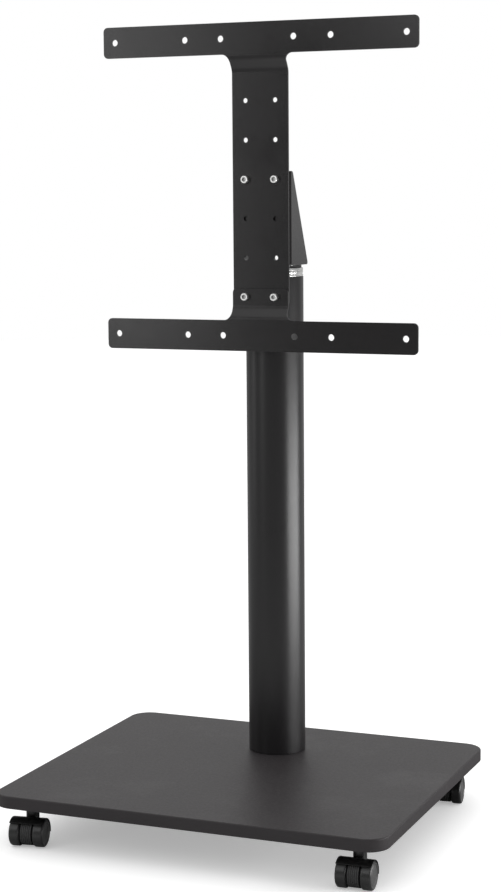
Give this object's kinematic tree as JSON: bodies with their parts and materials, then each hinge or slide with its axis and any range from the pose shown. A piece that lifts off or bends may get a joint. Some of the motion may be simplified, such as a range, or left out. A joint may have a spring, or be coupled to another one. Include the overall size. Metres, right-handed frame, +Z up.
{
  "type": "tv floor stand",
  "caption": "Wheeled floor stand for a flat screen: flat board on twin wheel casters, round column, swivelling wedge bracket and two joggled T plates with screen screw holes.",
  "frame": {"origin": "on the floor, under the middle of the board", "axes": "+Z up along the column, +X to the right of someone facing the screen plates, +Y from the screen plates to the back of the stand"},
  "size_m": [0.52, 0.44, 1.031],
  "materials": {
    "board_grey": "matte grey coating on fibreboard",
    "black_paint": "fine black powder coat",
    "turned_silver": "turned, satin",
    "zinc_steel": "zinc plated",
    "dark_steel": "blackened steel",
    "slide_plastic": "matte",
    "hood_plastic": "satin gloss",
    "wheel_plastic": "gloss"
  },
  "bodies": {
    "stand": {"base_board": "board_grey", "column_tube": "black_paint", "column_foot_plate": "zinc_steel", "column_top_plate": "zinc_steel", "foot_screw_1": "zinc_steel", "foot_screw_2": "zinc_steel", "foot_screw_3": "zinc_steel", "foot_screw_4": "zinc_steel", "foot_washer_1": "zinc_steel", "foot_washer_2": "zinc_steel", "foot_washer_3": "zinc_steel", "foot_washer_4": "zinc_steel", "swivel_collar": "turned_silver", "swivel_ring": "turned_silver", "swivel_washer": "slide_plastic", "pivot_bolt": "zinc_steel", "pivot_nut": "zinc_steel", "caster_insert_front_left": "zinc_steel", "caster_insert_front_right": "zinc_steel", "caster_insert_back_left": "zinc_steel", "caster_insert_back_right": "zinc_steel", "caster_stem_front_left": "dark_steel", "caster_stem_front_right": "dark_steel", "caster_stem_back_left": "dark_steel", "caster_stem_back_right": "dark_steel"},
    "head": {"wedge_bracket": "black_paint", "upper_t_plate": "black_paint", "lower_t_plate": "black_paint", "upper_screw_left": "zinc_steel", "upper_screw_right": "zinc_steel", "upper_nut_left": "zinc_steel", "upper_nut_right": "zinc_steel", "lower_screw_left": "zinc_steel", "lower_screw_right": "zinc_steel", "lower_nut_left": "zinc_steel", "lower_nut_right": "zinc_steel"},
    "caster_front_left": {"caster_hood_front_left": "hood_plastic", "caster_axle_front_left": "zinc_steel"},
    "caster_front_right": {"caster_hood_front_right": "hood_plastic", "caster_axle_front_right": "zinc_steel"},
    "caster_back_left": {"caster_hood_back_left": "hood_plastic", "caster_axle_back_left": "zinc_steel"},
    "caster_back_right": {"caster_hood_back_right": "hood_plastic", "caster_axle_back_right": "zinc_steel"},
    "wheel_front_left_left": {"caster_wheel_front_left_left": "wheel_plastic"},
    "wheel_front_left_right": {"caster_wheel_front_left_right": "wheel_plastic"},
    "wheel_front_right_left": {"caster_wheel_front_right_left": "wheel_plastic"},
    "wheel_front_right_right": {"caster_wheel_front_right_right": "wheel_plastic"},
    "wheel_back_left_left": {"caster_wheel_back_left_left": "wheel_plastic"},
    "wheel_back_left_right": {"caster_wheel_back_left_right": "wheel_plastic"},
    "wheel_back_right_left": {"caster_wheel_back_right_left": "wheel_plastic"},
    "wheel_back_right_right": {"caster_wheel_back_right_right": "wheel_plastic"}
  },
  "joints": [
    {"name": "head_swivel", "type": "hinge", "parent": "stand", "child": "head", "pos_m": [0, 0.108, 0.7214], "axis": [0, 0, 1], "range_deg": [-45, 45]},
    {"name": "swivel_front_left", "type": "hinge", "parent": "stand", "child": "caster_front_left", "pos_m": [-0.219, -0.181, 0.045], "axis": [0, 0, 1], "continuous": true},
    {"name": "swivel_front_right", "type": "hinge", "parent": "stand", "child": "caster_front_right", "pos_m": [0.219, -0.181, 0.045], "axis": [0, 0, 1], "continuous": true},
    {"name": "swivel_back_left", "type": "hinge", "parent": "stand", "child": "caster_back_left", "pos_m": [-0.219, 0.181, 0.045], "axis": [0, 0, 1], "continuous": true},
    {"name": "swivel_back_right", "type": "hinge", "parent": "stand", "child": "caster_back_right", "pos_m": [0.219, 0.181, 0.045], "axis": [0, 0, 1], "continuous": true},
    {"name": "spin_front_left_left", "type": "hinge", "parent": "caster_front_left", "child": "wheel_front_left_left", "pos_m": [-0.22525, -0.19718, 0.0175], "axis": [0.9877, 0.1564, 0], "continuous": true},
    {"name": "spin_front_left_right", "type": "hinge", "parent": "caster_front_left", "child": "wheel_front_left_right", "pos_m": [-0.20806, -0.19445, 0.0175], "axis": [0.9877, 0.1564, 0], "continuous": true},
    {"name": "spin_front_right_left", "type": "hinge", "parent": "caster_front_right", "child": "wheel_front_right_left", "pos_m": [0.21083, -0.19629, 0.0175], "axis": [0.9994, 0.0349, 0], "continuous": true},
    {"name": "spin_front_right_right", "type": "hinge", "parent": "caster_front_right", "child": "wheel_front_right_right", "pos_m": [0.22822, -0.19569, 0.0175], "axis": [0.9994, 0.0349, 0], "continuous": true},
    {"name": "spin_back_left_left", "type": "hinge", "parent": "caster_back_left", "child": "wheel_back_left_left", "pos_m": [-0.22663, 0.16543, 0.0175], "axis": [0.9976, 0.0698, 0], "continuous": true},
    {"name": "spin_back_left_right", "type": "hinge", "parent": "caster_back_left", "child": "wheel_back_left_right", "pos_m": [-0.20927, 0.16664, 0.0175], "axis": [0.9976, 0.0698, 0], "continuous": true},
    {"name": "spin_back_right_left", "type": "hinge", "parent": "caster_back_right", "child": "wheel_back_right_left", "pos_m": [0.21192, 0.16517, 0.0175], "axis": [0.9945, 0.1045, 0], "continuous": true},
    {"name": "spin_back_right_right", "type": "hinge", "parent": "caster_back_right", "child": "wheel_back_right_right", "pos_m": [0.22922, 0.16699, 0.0175], "axis": [0.9945, 0.1045, 0], "continuous": true}
  ]
}
